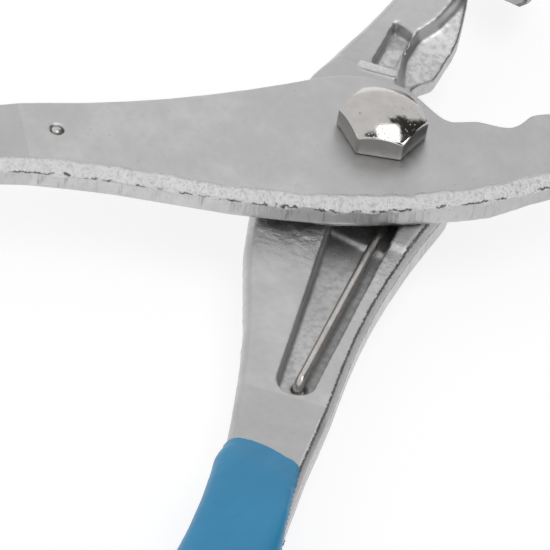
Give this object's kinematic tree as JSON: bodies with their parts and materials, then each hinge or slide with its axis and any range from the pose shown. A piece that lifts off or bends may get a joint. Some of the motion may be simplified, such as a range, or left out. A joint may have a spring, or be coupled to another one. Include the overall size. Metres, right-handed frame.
{
  "type": "hose clamp pliers",
  "caption": "Spring-opened pliers with lapped forged arms, a domed pivot bolt, dipped vinyl grips and swivelling slotted jaw tips for spring hose clamps.",
  "frame": {"origin": "on the pivot's axis at the underside of the nut, which the tool lies on", "axes": "+Z along the pivot from the nut to the bolt head, +Y from the handles to the jaws, +X to the side of the upper arm's jaw"},
  "size_m": [0.1714, 0.2162, 0.0268],
  "materials": {
    "forged_steel": "satin",
    "polished_steel": "gloss",
    "plated_steel": "satin",
    "spring_wire": "gloss",
    "machined_steel": "satin",
    "nylon": "matte",
    "vinyl": "satin"
  },
  "bodies": {
    "lower": {"lower_arm": "forged_steel", "lower_grip": "vinyl", "pivot_bolt": "polished_steel", "pivot_washer": "plated_steel", "pivot_nut": "plated_steel", "nut_insert": "nylon", "torsion_spring": "spring_wire", "lower_tip_washer": "plated_steel"},
    "upper": {"upper_arm": "forged_steel", "upper_grip": "vinyl", "upper_tip_washer": "plated_steel"},
    "lower_tip": {"lower_tip": "machined_steel", "lower_tip_clip": "plated_steel"},
    "upper_tip": {"upper_tip": "machined_steel", "upper_tip_clip": "plated_steel"}
  },
  "joints": [
    {"name": "pivot", "type": "hinge", "parent": "lower", "child": "upper", "pos_m": [0, 0, 0.01385], "axis": [0, 0, 1], "range_deg": [0, 37.3], "stiffness_Nm_per_rad": 0.9, "springref_deg": -8.59, "deforming": ["torsion_spring"]},
    {"name": "lower_tip_swivel", "type": "hinge", "parent": "lower", "child": "lower_tip", "pos_m": [-0.0321, 0.0546, 0.01385], "axis": [0.9475, 0.3198, 0], "continuous": true},
    {"name": "upper_tip_swivel", "type": "hinge", "parent": "upper", "child": "upper_tip", "pos_m": [0.0321, 0.0546, 0.01385], "axis": [-0.9475, 0.3198, 0], "continuous": true}
  ]
}
